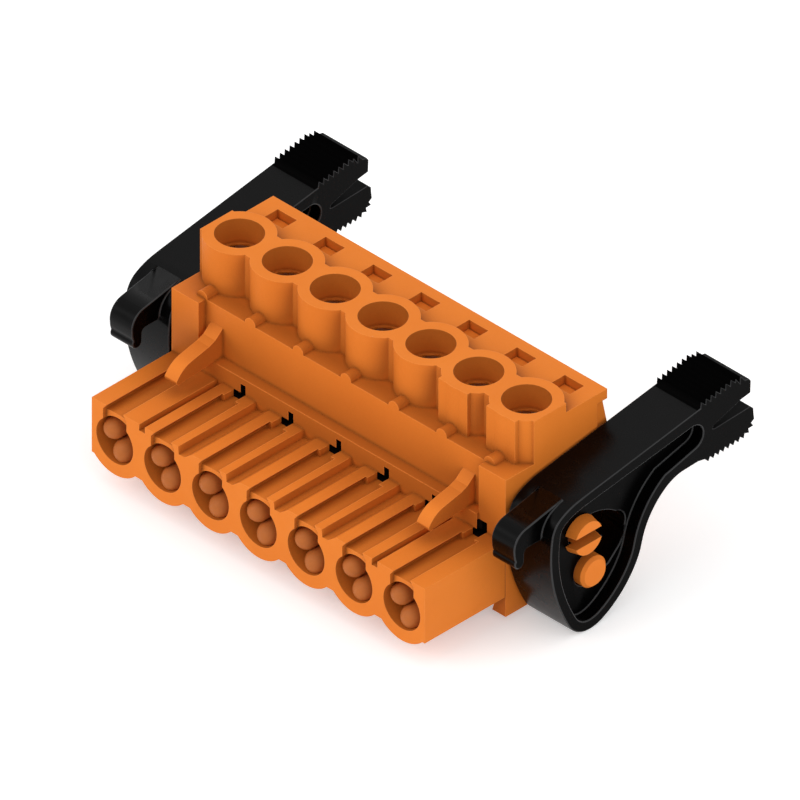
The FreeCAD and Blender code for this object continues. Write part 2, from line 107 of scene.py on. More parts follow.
# Clamp screws: each point of the thread's profile is on the crest or not, at a share of the pitch
HEAD_HEIGHT = 1.9 * MM
HEAD_CUT = 0.02 * MM
SHARP_HEAD_EDGE = 0.9
SHANK_RADIUS, SHANK_SEAT = 1.25 * MM, 0.04 * MM
THREAD_STEPS = 28
THREAD_PROFILE = (
    (False, 0.0), (False, 0.12), (True, 0.46), (True, 0.58), (False, 0.92), (False, 1.0))

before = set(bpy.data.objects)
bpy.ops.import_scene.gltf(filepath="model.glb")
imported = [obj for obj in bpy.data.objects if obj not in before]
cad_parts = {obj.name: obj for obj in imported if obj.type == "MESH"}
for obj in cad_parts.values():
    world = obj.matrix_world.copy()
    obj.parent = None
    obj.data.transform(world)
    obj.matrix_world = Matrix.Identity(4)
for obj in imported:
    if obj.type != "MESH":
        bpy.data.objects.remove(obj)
cad_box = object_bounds()


class PlasticSettings(bpy.types.PropertyGroup):
    """Moulded plastics of the housing, the wire cover and the levers"""

    orange: bpy.props.FloatVectorProperty(
        name="Housing orange", description="Colour of the housing and its wire cover",
        subtype="COLOR", size=4, min=0.0, max=1.0, default=(0.86, 0.235, 0.030, 1.0))
    orange_deep: bpy.props.FloatVectorProperty(
        name="Deep orange", description="Darker tone of the flow marks in the housing",
        subtype="COLOR", size=4, min=0.0, max=1.0, default=(0.82, 0.215, 0.026, 1.0))
    cover_tone: bpy.props.FloatProperty(
        name="Cover tone", description="Brightness of the wire cover against the housing",
        subtype="FACTOR", min=0.5, max=1.2, default=0.97)
    black: bpy.props.FloatVectorProperty(
        name="Lever black", description="Colour of the release levers",
        subtype="COLOR", size=4, min=0.0, max=1.0, default=(0.0010, 0.0009, 0.0009, 1.0))
    edge_radius: bpy.props.FloatProperty(
        name="Edge radius", description="Rounding that moulded edges show",
        subtype="DISTANCE", unit="LENGTH", min=0.0, max=0.001, precision=5, default=0.00007)
    # Painted shade: the hollow tone and reach darken the orange in wells and channels, where less
    # light reaches
    hollow_shade_tone: bpy.props.FloatVectorProperty(
        name="Hollows", description="Darker tone of the orange plastic down in wells and channels",
        subtype="COLOR", size=4, min=0.0, max=1.0, default=(0.42, 0.115, 0.016, 1.0))
    hollow_shade_reach: bpy.props.FloatProperty(
        name="Hollow reach", description="How far from a facing wall a hollow begins to darken",
        subtype="DISTANCE", unit="LENGTH", min=0.0001, max=0.02, precision=4, default=0.0080)
    # Painted shade: the crease reach sets the width of the darker line painted along inner corners
    crease_shade_reach: bpy.props.FloatProperty(
        name="Crease reach", description="Width of the deeper line along inner corners",
        subtype="DISTANCE", unit="LENGTH", min=0.00005, max=0.005, precision=5, default=0.00045)
    # Painted highlight: a paler line along the levers' edges, where light catches their rounded
    # edges
    lever_edge_highlight: bpy.props.FloatVectorProperty(
        name="Lever edges", description="Paler line along the worn edges of the levers",
        subtype="COLOR", size=4, min=0.0, max=1.0, default=(0.032, 0.032, 0.033, 1.0))
    lever_rounding: bpy.props.FloatProperty(
        name="Lever rounding", description="Radius of the rounded edges of the levers",
        subtype="DISTANCE", unit="LENGTH", min=0.0, max=0.0005, precision=5, default=0.00010)
    grain: bpy.props.FloatProperty(
        name="Grain", description="Height of the mould's fine spark grain",
        subtype="FACTOR", min=0.0, max=1.0, default=0.10)


class MetalSettings(bpy.types.PropertyGroup):
    """Screws, clamping yokes and contacts"""

    steel: bpy.props.FloatVectorProperty(
        name="Screw steel", description="Colour of the zinc plated clamp screws",
        subtype="COLOR", size=4, min=0.0, max=1.0, default=(0.30, 0.27, 0.27, 1.0))
    nickel: bpy.props.FloatVectorProperty(
        name="Yoke plating", description="Colour of the plated clamping yokes",
        subtype="COLOR", size=4, min=0.0, max=1.0, default=(0.66, 0.63, 0.56, 1.0))
    # Painted reflection and painted shade: the spring ends take the orange-brown of the socket
    # walls they would reflect, darkened as in the socket's shade
    finger_reflection_tone: bpy.props.FloatVectorProperty(
        name="Finger ends", description="Duller tone of the contacts' rounded spring ends",
        subtype="COLOR", size=4, min=0.0, max=1.0, default=(0.52, 0.152, 0.034, 1.0))
    alloy: bpy.props.FloatVectorProperty(
        name="Contact alloy", description="Colour of the bright copper alloy contacts",
        subtype="COLOR", size=4, min=0.0, max=1.0, default=(0.62, 0.30, 0.16, 1.0))
    thread_pitch: bpy.props.FloatProperty(
        name="Thread pitch", description="Rise of the clamp screw's thread in one turn",
        subtype="DISTANCE", unit="LENGTH", min=0.0001, max=0.002, precision=5, default=0.00045)
    thread_depth: bpy.props.FloatProperty(
        name="Thread depth", description="Depth of the clamp screw's thread",
        subtype="DISTANCE", unit="LENGTH", min=0.00005, max=0.001, precision=5, default=0.00024)
    head_bevel: bpy.props.FloatProperty(
        name="Head bevel", description="Rounding of the screw head's edges",
        subtype="DISTANCE", unit="LENGTH", min=0.0, max=0.0005, precision=5, default=0.00008)


class StageSettings(bpy.types.PropertyGroup):
    """Floor, lamps and camera"""

    floor_tone: bpy.props.FloatVectorProperty(
        name="Floor", description="Colour of the plain pale floor",
        subtype="COLOR", size=4, min=0.0, max=1.0, default=(0.93, 0.93, 0.93, 1.0))
    key_strength: bpy.props.FloatProperty(
        name="Key light", description="Strength of the main soft light", min=0.0, max=20.0,
        default=0.62)
    fill_strength: bpy.props.FloatProperty(
        name="Fill light", description="Strength of the light from the right", min=0.0, max=20.0,
        default=0.45)
    sky_strength: bpy.props.FloatProperty(
        name="Surrounding light", description="Strength of the even light all round",
        min=0.0, max=5.0, default=0.80)
    azimuth: bpy.props.FloatProperty(
        name="Camera azimuth", description="Turn of the camera to the right of the mating face",
        subtype="ANGLE", unit="ROTATION", default=math.radians(45.0))
    elevation: bpy.props.FloatProperty(
        name="Camera elevation", description="Angle of the camera above the floor",
        subtype="ANGLE", unit="ROTATION", default=math.radians(35.2644))
    view_width: bpy.props.FloatProperty(
        name="View width", description="Width that the camera shows",
        subtype="DISTANCE", unit="LENGTH", min=0.01, max=1.0, precision=5, default=0.05911)
    view_centre: bpy.props.FloatVectorProperty(
        name="View centre", description="Point at the middle of the picture",
        subtype="TRANSLATION", unit="LENGTH", size=3, precision=6,
        default=(0.008485, -0.006719, 0.0))


def node_tree(name):
    """A new material with an empty node tree."""
    material = bpy.data.materials.new(name)
    material.use_nodes = True
    material.node_tree.nodes.clear()
    return material, material.node_tree


def add(tree, kind, values=None, **settings):
    """Adds a shader node, sets its properties and its unlinked inputs."""
    node = tree.nodes.new(kind)
    for key, value in settings.items():
        setattr(node, key, value)
    for key, value in (values or {}).items():
        node.inputs[key].default_value = value
    return node


def object_noise(tree, coordinates, scale, detail=2.0, roughness=0.5):
    """Noise on the piece's own coordinates, with its size given per metre."""
    noise = add(tree, "ShaderNodeTexNoise",
                {"Scale": scale, "Detail": detail, "Roughness": roughness})
    tree.links.new(coordinates, noise.inputs["Vector"])
    return noise


def ramp(tree, factor, low, high, low_at=0.3, high_at=0.7):
    """A two-stop colour ramp."""
    node = add(tree, "ShaderNodeValToRGB")
    node.color_ramp.elements[0].position = low_at
    node.color_ramp.elements[1].position = high_at
    node.color_ramp.elements[0].color = low
    node.color_ramp.elements[1].color = high
    tree.links.new(factor, node.inputs["Fac"])
    return node


def link_surface(tree, surface, kind="ShaderNodeOutputMaterial"):
    """Adds the output node of a material or world and links its surface."""
    output = add(tree, kind)
    tree.links.new(surface, output.inputs["Surface"])


def grey(value):
    """A grey with full opacity."""
    return (value, value, value, 1.0)


def darker(colour, factor):
    """A colour with its channels scaled down by a factor."""
    return tuple(channel * factor for channel in colour[:3]) + (1.0,)


def blend_colours(tree, factor, first, second):
    """Mixes two colours by a factor; each of the three is a socket or a value."""
    node = add(tree, "ShaderNodeMix", data_type="RGBA")
    for index, value in ((0, factor), (6, first), (7, second)):
        if isinstance(value, bpy.types.NodeSocket):
            tree.links.new(value, node.inputs[index])
        else:
            node.inputs[index].default_value = value
    return node.outputs[2]


def edge_mask(tree, edge_radius):
    """One along edges, within a radius of them, and nought on flat faces."""
    soft_edge = add(tree, "ShaderNodeBevel", {"Radius": edge_radius}, samples=6)
    geometry = add(tree, "ShaderNodeNewGeometry")
    facing = add(tree, "ShaderNodeVectorMath", operation="DOT_PRODUCT")
    tree.links.new(soft_edge.outputs["Normal"], facing.inputs[0])
    tree.links.new(geometry.outputs["Normal"], facing.inputs[1])
    return ramp(tree, facing.outputs["Value"], grey(1.0), grey(0.0), *EDGE_LIMITS).outputs["Color"]


def painted_edge_highlight(tree, colour, edge_highlight_tone, edge_radius):
    """Painted highlight: tints a colour paler along its edges."""
    return blend_colours(tree, edge_mask(tree, edge_radius), colour, edge_highlight_tone)


def own_openness(tree, reach):
    """One on open faces, less where the piece itself closes the view within a reach."""
    node = add(tree, "ShaderNodeAmbientOcclusion", {"Distance": reach}, samples=8, only_local=True)
    return node.outputs["AO"]


def painted_hollow_shade(tree, colour, hollow_shade_tone, reach):
    """Painted shade: takes a colour towards a deeper tone where the piece's own occlusion finds the
    surface lies in a hollow.
    """
    openness = own_openness(tree, reach)
    hollow_shade_amount = ramp(tree, openness, grey(1.0), grey(0.0), *HOLLOW_SHADE_LIMITS)
    hollow_shade_amount.color_ramp.elements.new(DEEPEST_SHADE_AT).color = grey(DEEPEST_SHADE_STRENGTH)
    return blend_colours(tree, hollow_shade_amount.outputs["Color"], colour, hollow_shade_tone)


def painted_crease_shade_and_rim_highlight(tree, colour, crease_shade_tone, rim_highlight_tone, reach, edge_radius):
    """Paints shade as a thin deeper line along a moulding's inner corners and a painted highlight
    as a paler one along its rims.
    """
    openness = own_openness(tree, reach)
    line = ramp(tree, openness, grey(CREASE_SHADE_STRENGTH), grey(0.0), *CREASE_SHADE_LIMITS)
    crease_shaded = blend_colours(tree, line.outputs["Color"], colour, crease_shade_tone)
    outer = ramp(tree, openness, grey(0.0), grey(1.0), *RIM_HIGHLIGHT_LIMITS)
    mask = both(tree, outer.outputs["Color"], edge_mask(tree, edge_radius))
    return blend_colours(tree, mask, crease_shaded, rim_highlight_tone)


def seen_directly(tree):
    """One for camera, glossy and transmission rays, which show the plain background."""
    path = add(tree, "ShaderNodeLightPath")
    glossy, through = path.outputs["Is Glossy Ray"], path.outputs["Is Transmission Ray"]
    shiny = both(tree, glossy, through, "MAXIMUM")
    return both(tree, path.outputs["Is Camera Ray"], shiny, "MAXIMUM")


def inside(tree, value, low, high):
    """One where a value lies between two limits, otherwise nought."""
    middle, reach = (low + high) / 2.0, (high - low) / 2.0
    node = add(tree, "ShaderNodeMath", {1: middle, 2: reach}, operation="COMPARE")
    tree.links.new(value, node.inputs[0])
    return node.outputs["Value"]


def both(tree, first, second, operation="MULTIPLY"):
    """Joins two factor sockets, by default to one where both are one."""
    node = add(tree, "ShaderNodeMath", operation=operation)
    tree.links.new(first, node.inputs[0])
    tree.links.new(second, node.inputs[1])
    return node.outputs["Value"]


def painted_tunnel_shade(tree, coordinates, colour):
    """Painted shade: blackens the walls of the small tunnels where the deck's channels go under the
    step, standing in for the shade deep inside them.
    """
    axes = add(tree, "ShaderNodeSeparateXYZ")
    tree.links.new(coordinates, axes.inputs["Vector"])
    half = POLE_PITCH / 2.0
    across = add(tree, "ShaderNodeMath", {1: half, 2: -half}, operation="WRAP")
    tree.links.new(axes.outputs["X"], across.inputs[0])
    side_to_side = inside(tree, across.outputs["Value"], TUNNEL_LEFT, TUNNEL_RIGHT)
    front_to_back = inside(tree, axes.outputs["Y"], TUNNEL_FRONT, TUNNEL_BACK)
    up = inside(tree, axes.outputs["Z"], TUNNEL_FLOOR, TUNNEL_TOP)
    under_deck = inside(tree, axes.outputs["Z"], TUNNEL_FLOOR, DECK_Z)
    behind_step = inside(tree, axes.outputs["Y"], STEP_Y, TUNNEL_BACK)
    hidden = both(tree, under_deck, behind_step, "MAXIMUM")
    mask = both(tree, both(tree, side_to_side, front_to_back), both(tree, up, hidden))
    return blend_colours(tree, mask, colour, TUNNEL_SHADE_BLACK)


def moulded_plastic(name, colour_of, rough, grain, edge_radius, ior, gloss_level):
    """Moulded plastic: a colour, fine spark grain and edges that look rounded."""
    material, tree = node_tree(name)
    coordinates = add(tree, "ShaderNodeTexCoord").outputs["Object"]
    flow = object_noise(tree, coordinates, FLOW_NOISE, detail=3.0, roughness=0.6)
    colour = colour_of(tree, coordinates, flow.outputs["Fac"])
    soft_edge = add(tree, "ShaderNodeBevel", {"Radius": edge_radius}, samples=6)
    gloss_noise = object_noise(tree, coordinates, GLOSS_NOISE, detail=3.0)
    gloss = ramp(tree, gloss_noise.outputs["Fac"], grey(rough - 0.05), grey(rough + 0.05))
    spark = object_noise(tree, coordinates, SPARK_NOISE, detail=2.0)
    bump = add(tree, "ShaderNodeBump", {"Strength": grain, "Distance": 0.00002})
    tree.links.new(spark.outputs["Fac"], bump.inputs["Height"])
    tree.links.new(soft_edge.outputs["Normal"], bump.inputs["Normal"])
    shader = add(tree, "ShaderNodeBsdfPrincipled", {"IOR": ior, "Specular IOR Level": gloss_level})
    tree.links.new(colour, shader.inputs["Base Color"])
    tree.links.new(gloss.outputs["Color"], shader.inputs["Roughness"])
    tree.links.new(bump.outputs["Normal"], shader.inputs["Normal"])
    link_surface(tree, shader.outputs["BSDF"])
    return material


def worked_metal(name, base, dull, rough, brush, scratch, metallic=1.0, gloss_level=0.5):
    """Stamped or turned metal with fine lines along one direction and a duller tone in patches."""
    material, tree = node_tree(name)
    coordinates = add(tree, "ShaderNodeTexCoord").outputs["Object"]
    stretch = add(tree, "ShaderNodeMapping", {"Scale": brush}, vector_type="POINT")
    tree.links.new(coordinates, stretch.inputs["Vector"])
    lines = object_noise(tree, stretch.outputs["Vector"], LINE_NOISE, detail=3.0)
    patches = object_noise(tree, coordinates, PATCH_NOISE, detail=4.0)
    tone = ramp(tree, patches.outputs["Fac"], dull, base, 0.35, 0.65)
    gloss = ramp(tree, lines.outputs["Fac"], grey(rough - 0.06), grey(rough + 0.10))
    bump = add(tree, "ShaderNodeBump", {"Strength": scratch, "Distance": 0.00001})
    tree.links.new(lines.outputs["Fac"], bump.inputs["Height"])
    shader = add(tree, "ShaderNodeBsdfPrincipled",
                 {"Metallic": metallic, "Specular IOR Level": gloss_level})
    tree.links.new(tone.outputs["Color"], shader.inputs["Base Color"])
    tree.links.new(gloss.outputs["Color"], shader.inputs["Roughness"])
    tree.links.new(bump.outputs["Normal"], shader.inputs["Normal"])
    link_surface(tree, shader.outputs["BSDF"])
    return material


def finish_node(node, material):
    """Gives a CAD node its material, with its mesh left as it is."""
    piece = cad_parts[node]
    if not piece.material_slots:
        piece.data.materials.append(material)
    for slot in piece.material_slots:
        slot.material = material


def piece_from(bm, name, material):
    """A scene object at the origin from a bmesh whose vertices are already in place."""
    mesh = bpy.data.meshes.new(name)
    bm.to_mesh(mesh)
    bm.free()
    mesh.materials.append(material)
    piece = bpy.data.objects.new(name, mesh)
    bpy.context.scene.collection.objects.link(piece)
    return piece


def joined_copy(node):
    """A bmesh of a CAD node with its loose triangles joined."""
    bm = bmesh.new()
    bm.from_mesh(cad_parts[node].data)
    bmesh.ops.remove_doubles(bm, verts=bm.verts, dist=JOIN_DISTANCE)
    return bm


def cad_copy(node):
    """A bmesh of a CAD node with its triangles joined into whole faces."""
    bm = joined_copy(node)
    bmesh.ops.dissolve_limit(bm, angle_limit=math.radians(1.0), verts=bm.verts, edges=bm.edges)
    return bm


def everything(bm):
    """All vertices, edges and faces of a bmesh."""
    return bm.verts[:] + bm.edges[:] + bm.faces[:]


def between(edge):
    """The middle of an edge."""
    return (edge.verts[0].co + edge.verts[1].co) / 2.0


def cut_away(bm, place, direction):
    """Cuts a closed bmesh by a plane, drops what lies along the direction and closes the cut."""
    cut = bmesh.ops.bisect_plane(bm, geom=everything(bm), dist=CUT_DISTANCE,
                                 plane_co=place, plane_no=direction, clear_outer=True)
    rim = [item for item in cut["geom_cut"] if isinstance(item, bmesh.types.BMEdge)]
    bmesh.ops.holes_fill(bm, edges=rim, sides=0)


def append_bmesh(bm, extra):
    """Adds a second bmesh to the first and frees it."""
    shape = bpy.data.meshes.new("extra")
    extra.to_mesh(shape)
    extra.free()
    bm.from_mesh(shape)
    bpy.data.meshes.remove(shape)


def smooth_faces(piece):
    """Shades a piece smooth, but for its sharp edges."""
    piece.data.polygons.foreach_set("use_smooth", [True] * len(piece.data.polygons))
    piece.data.set_sharp_from_angle(angle=SMOOTH_ANGLE)


def faces_sideways(face):
    """Whether a face looks along the row of poles."""
    return abs(face.normal.x) > 0.99


def draw_out_teeth(bm):
    """Adds the last two teeth of the grip's upper row and makes all its teeth deeper."""
    for place, height in LAST_TEETH:
        top = [face for face in bm.faces if face.normal.z > 0.9
               and face.calc_center_median().y > UPPER_ROW_END
               and face.calc_center_median().z > UPPER_JAW_Z]
        around = {item for face in top for item in face.verts[:] + face.edges[:]}
        cut = bmesh.ops.bisect_plane(bm, geom=top + list(around), dist=CUT_DISTANCE,
                                     plane_co=(0, place * MM, 0), plane_no=(0, 1, 0))
        for item in cut["geom_cut"]:
            if isinstance(item, bmesh.types.BMVert):
                item.co.z = height * MM
    bm.normal_update()
    crests = {}
    for edge in bm.edges:
        along = edge.verts[1].co - edge.verts[0].co
        middle = between(edge)
        if len(edge.link_faces) != 2 or middle.y < GRIP_FRONT or abs(along.x) < 0.99 * along.length:
            continue
        narrow = all(face.calc_area() < WIDEST_FLANK * along.length for face in edge.link_faces)
        if narrow and edge.calc_face_angle_signed() > SHARP_EDGE:
            first, second = edge.link_faces
            outwards = (first.normal + second.normal).normalized() * LOWER_TOOTH_RISE
            if middle.z > UPPER_JAW_Z:
                outwards = Vector((0, 0, 0.0 if middle.y > UPPER_ROW_END else UPPER_TOOTH_RISE))
            for vert in edge.verts:
                crests[vert] = outwards
    for vert, outwards in crests.items():
        vert.co += outwards
    bm.normal_update()


def rounded_lever(node, name, finishes, radius):
    """A release lever: the CAD lever with its outer edges rounded, less so at the grip's teeth."""
    bm = cad_copy(node)
    bmesh.ops.bisect_plane(bm, geom=everything(bm), dist=CUT_DISTANCE,
                           plane_co=(0, GRIP_FRONT, 0), plane_no=(0, 1, 0))
    draw_out_teeth(bm)
    weights = bm.edges.layers.float.new("bevel_weight_edge")
    for edge in bm.edges:
        if len(edge.link_faces) != 2 or edge.calc_face_angle() < SHARP_EDGE:
            continue
        sides = [faces_sideways(face) for face in edge.link_faces]
        middle = between(edge)
        if any(sides) and not all(sides):
            by_recess = (middle.yz - Vector(RECESS_END)).length < RECESS_END_ROOM
            edge[weights] = TOOTH_ROUNDING if middle.y > GRIP_FRONT and not by_recess else 1.0
    # Painted shade: faces looking along the row of poles get a duller copy of the black, so the
    # sides render darker than the tops
    for face in bm.faces:
        if faces_sideways(face):
            face.material_index = 3
        elif face.calc_center_median().y > GRIP_FRONT:
            face.material_index = 2
    piece = piece_from(bm, name, finishes[0])
    for finish in finishes[1:]:
        piece.data.materials.append(finish)
    smooth_faces(piece)
    rounding = piece.modifiers.new("rounding", "BEVEL")
    rounding.limit_method = "WEIGHT"
    rounding.width = radius
    rounding.segments = 3
    rounding.use_clamp_overlap = False
    rounding.harden_normals = True
    # The rounded faces get the paler edge material, a painted highlight
    rounding.material = 1
    return piece


def spring_finger(pole_x, place, radius):
    """A round spring finger: half a ball and a barrel behind it, cut to the room in the socket."""
    finger = bmesh.new()
    bmesh.ops.create_uvsphere(finger, u_segments=40, v_segments=24, radius=radius)
    lying = Matrix.Rotation(math.pi / 2.0, 3, "X")
    bmesh.ops.rotate(finger, verts=finger.verts, cent=(0, 0, 0), matrix=lying)
    middle = FINGER_TIP + radius
    centre = Vector((pole_x + place[0], middle, SOCKET_Z + place[1]))
    bmesh.ops.translate(finger, verts=finger.verts, vec=centre)
    back = [vert for vert in finger.verts if vert.co.y > middle + JOIN_DISTANCE]
    bmesh.ops.delete(finger, geom=back, context="VERTS")
    rim = [edge for edge in finger.edges if edge.is_boundary]
    drawn = bmesh.ops.extrude_edge_only(finger, edges=rim)["geom"]
    barrel = [item for item in drawn if isinstance(item, bmesh.types.BMVert)]
    bmesh.ops.translate(finger, verts=barrel, vec=(0, FINGER_BACK + FINGER_SEAT - middle, 0))
    rim = [edge for edge in finger.edges if edge.is_boundary]
    bmesh.ops.holes_fill(finger, edges=rim, sides=0)
    bmesh.ops.recalc_face_normals(finger, faces=finger.faces)
    for step in range(ROOM_SIDES):
        turn = step * 2.0 * math.pi / ROOM_SIDES
        outwards = Vector((math.cos(turn), 0.0, math.sin(turn)))
        cut_away(finger, Vector((pole_x, 0.0, SOCKET_Z)) + outwards * SOCKET_ROOM, outwards)
    return finger


def domed_contact(node, pole_x, strip, ends):
    """A contact: the CAD contact with a smooth round spring finger on the end of each beam."""
    bm = cad_copy(node)
    cut_away(bm, (0, FINGER_BACK, 0), (0, -1, 0))
    for place, radius in FINGERS:
        finger = spring_finger(pole_x, place, radius)
        for face in finger.faces:
            # The fingers take the ends' finish, a painted reflection of the orange socket with
            # painted shade
            face.material_index = 1
        append_bmesh(bm, finger)
    piece = piece_from(bm, "spring_" + node, strip)
    piece.data.materials.append(ends)
    smooth_faces(piece)
    return piece


def screw_head(node, underside, bevel):
    """The head of a clamp screw: the CAD head, cut from its shank, closed and rounded."""
    bm = joined_copy(node)
    cut_away(bm, (0, 0, underside + HEAD_CUT), (0, 0, -1))
    bmesh.ops.dissolve_limit(bm, angle_limit=math.radians(2.0), verts=bm.verts, edges=bm.edges)
    sharp = [edge for edge in bm.edges
             if len(edge.link_faces) == 2 and edge.calc_face_angle() > SHARP_HEAD_EDGE]
    bmesh.ops.bevel(bm, geom=sharp, offset=bevel, offset_type="OFFSET", segments=2, profile=0.5,
                    affect="EDGES", material=-1, clamp_overlap=True)
    return bm


def threaded_shank(bm, centre, bottom, top, settings):
    """A V-thread on the shank: one pitch of profile, spun upwards and cut square at both ends."""
    pitch = settings.thread_pitch
    root = SHANK_RADIUS - settings.thread_depth
    turns = int((top - bottom) / pitch) + 3
    start = bottom - 1.5 * pitch
    own = bmesh.new()
    verts = []
    for crest, share in THREAD_PROFILE:
        radius = SHANK_RADIUS if crest else root
        verts.append(own.verts.new((centre.x + radius, centre.y, start + share * pitch)))
    edges = [own.edges.new(pair) for pair in zip(verts, verts[1:])]
    bmesh.ops.spin(own, geom=verts + edges, cent=centre, axis=(0, 0, 1),
                   dvec=(0, 0, pitch / THREAD_STEPS), angle=turns * 2 * math.pi,
                   steps=turns * THREAD_STEPS)
    bmesh.ops.remove_doubles(own, verts=own.verts, dist=2 * JOIN_DISTANCE)
    for height, direction in ((bottom, (0, 0, -1)), (top, (0, 0, 1))):
        cut_away(own, (0, 0, height), direction)
    bmesh.ops.recalc_face_normals(own, faces=own.faces)
    append_bmesh(bm, own)


class HousingOperator(bpy.types.Operator):
    """Finish the housing and the wire cover in orange moulded plastic"""

    bl_idname = "terminal.housing"
    bl_label = "Housing and Wire Cover"

    def execute(self, context):
        settings = context.scene.terminal_plastic
        orange, deep = tuple(settings.orange), tuple(settings.orange_deep)
        hollow, reach = tuple(settings.hollow_shade_tone), settings.hollow_shade_reach
        crease_shade, shade_line_reach = darker(hollow, CREASE_SHADE_TONE), settings.crease_shade_reach
        # Painted highlight: rim is a paler orange painted along the rims; the crease tone is
        # painted shade
        rim = tuple(min(1.0, gain * channel) for gain, channel in zip(RIM_HIGHLIGHT_GAIN, orange)) + (1.0,)
        rim_highlight_width = RIM_HIGHLIGHT_WIDTH * settings.edge_radius

        def housing_colour(tree, coordinates, flow):
            tone = ramp(tree, flow, deep, orange).outputs["Color"]
            # Painted shade darkens the hollows, then painted crease shade, painted rim highlight
            # and painted shade in the tunnels follow
            tone = painted_hollow_shade(tree, tone, hollow, reach)
            tone = painted_crease_shade_and_rim_highlight(tree, tone, crease_shade, rim, shade_line_reach, rim_highlight_width)
            return painted_tunnel_shade(tree, coordinates, tone)

        def cover_colour(tree, coordinates, flow):
            low, high = darker(deep, settings.cover_tone), darker(orange, settings.cover_tone)
            tone = ramp(tree, flow, low, high).outputs["Color"]
            # Painted shade darkens the hollows, then painted crease shade and painted rim highlight
            # follow
            tone = painted_hollow_shade(tree, tone, hollow, reach)
            return painted_crease_shade_and_rim_highlight(tree, tone, crease_shade, rim, shade_line_reach, rim_highlight_width)

        body = moulded_plastic("orange_polyamide", housing_colour, 0.50, settings.grain,
                               settings.edge_radius, ORANGE_IOR, ORANGE_GLOSS)
        finish_node("housing", body)
        cover = moulded_plastic("orange_polyamide_cover", cover_colour, 0.52, settings.grain,
                                settings.edge_radius, ORANGE_IOR, ORANGE_GLOSS)
        finish_node("wire_cover", cover)
        return {"FINISHED"}


class LeversOperator(bpy.types.Operator):
    """Finish the two release levers in black moulded plastic"""

    bl_idname = "terminal.levers"
    bl_label = "Release Levers"

    def execute(self, context):
        settings = context.scene.terminal_plastic
        black = tuple(settings.black)
        edge_highlight_tone, edge_radius = tuple(settings.lever_edge_highlight), settings.edge_radius
        lever_grain = LEVER_GRAIN * settings.grain

        # Painted highlight: the black is tinted paler along its edges
        def black_with_edge_highlight(edge_highlight_width):
            def colour_of(tree, coordinates, flow):
                tone = ramp(tree, flow, darker(black, 0.8), black).outputs["Color"]
                return painted_edge_highlight(tree, tone, edge_highlight_tone, edge_highlight_width)
            return colour_of

        def edge_highlight_colour(tree, coordinates, flow):
            return ramp(tree, flow, darker(edge_highlight_tone, 0.6), edge_highlight_tone).outputs["Color"]

        plan = (
            ("black_polyamide", black_with_edge_highlight(edge_radius), 0.25, 1.18),
            # Painted highlight: the paler finish of the rounded edge faces
            ("black_polyamide_edge_highlight", edge_highlight_colour, 0.24, 1.3),
            ("black_polyamide_grip", black_with_edge_highlight(2.0 * edge_radius), 0.35, 1.06),
            # Painted shade: the duller copy of the black for faces looking along the row of poles
            ("black_polyamide_side_shaded", black_with_edge_highlight(edge_radius), 0.30, 1.10),
        )
        finishes = [
            moulded_plastic(name, colour_of, rough, lever_grain, edge_radius, ior, BLACK_GLOSS)
            for name, colour_of, rough, ior in plan]
        for side in ("left", "right"):
            node = "lever_" + side
            piece = rounded_lever(node, "release_" + node, finishes, settings.lever_rounding)
            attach(piece, node)
            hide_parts(node)
        return {"FINISHED"}


class ContactsOperator(bpy.types.Operator):
    """Finish the seven contacts in bright copper alloy"""

    bl_idname = "terminal.contacts"
    bl_label = "Contacts"

    def execute(self, context):
        settings = context.scene.terminal_metal
        alloy, tone = tuple(settings.alloy), tuple(settings.finger_reflection_tone)
        strip = worked_metal("copper_alloy", alloy, darker(alloy, 0.86),
                             rough=0.32, brush=(1.0, 0.12, 1.0), scratch=0.15)
        # Painted reflection and painted shade: a non-metal orange-brown in place of copper
        # reflecting the orange socket in shade
        ends = worked_metal("copper_alloy_ends_painted_reflection", tone, darker(tone, 0.88),
                            rough=0.45, brush=(1.0, 1.0, 1.0), scratch=0.10,
                            metallic=0.0, gloss_level=0.12)
        for pole in POLES:
            node = "contact_%d" % pole
            piece = domed_contact(node, (pole - MIDDLE_POLE) * POLE_PITCH, strip, ends)
            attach(piece, "plug")
            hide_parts(node)
        return {"FINISHED"}


class YokesOperator(bpy.types.Operator):
    """Finish the seven clamping yokes in plated metal"""

    bl_idname = "terminal.yokes"
    bl_label = "Clamping Yokes"

    def execute(self, context):
        plating = tuple(context.scene.terminal_metal.nickel)
        metal = worked_metal("plated_yoke", plating, darker(plating, 0.8),
                             rough=0.32, brush=(1.0, 1.0, 0.15), scratch=0.2)
        for pole in POLES:
            finish_node("clamp_yoke_%d" % pole, metal)
        return {"FINISHED"}


class ScrewsOperator(bpy.types.Operator):
    """Model the seven slotted clamp screws with their threads"""

    bl_idname = "terminal.screws"
    bl_label = "Clamp Screws"

    def execute(self, context):
        settings = context.scene.terminal_metal
        steel = tuple(settings.steel)
        metal = worked_metal("zinc_plated_steel", steel, darker(steel, 0.82),
                             rough=0.30, brush=(1.0, 1.0, 0.2), scratch=0.2)
        for pole in POLES:
            node = "screw_%d" % pole
            low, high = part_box(node)
            centre = (low + high) / 2.0
            underside = high.z - HEAD_HEIGHT
            bm = screw_head(node, underside, settings.head_bevel)
            threaded_shank(bm, centre, low.z, underside + SHANK_SEAT, settings)
            piece = piece_from(bm, "threaded_screw_%d" % pole, metal)
            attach(piece, node)
            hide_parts(node)
        return {"FINISHED"}


def backed_by(place, back):
    """The pose of a lamp or camera at a place, with its back turned along a direction."""
    return Matrix.Translation(place) @ back.to_track_quat("Z", "Y").to_matrix().to_4x4()


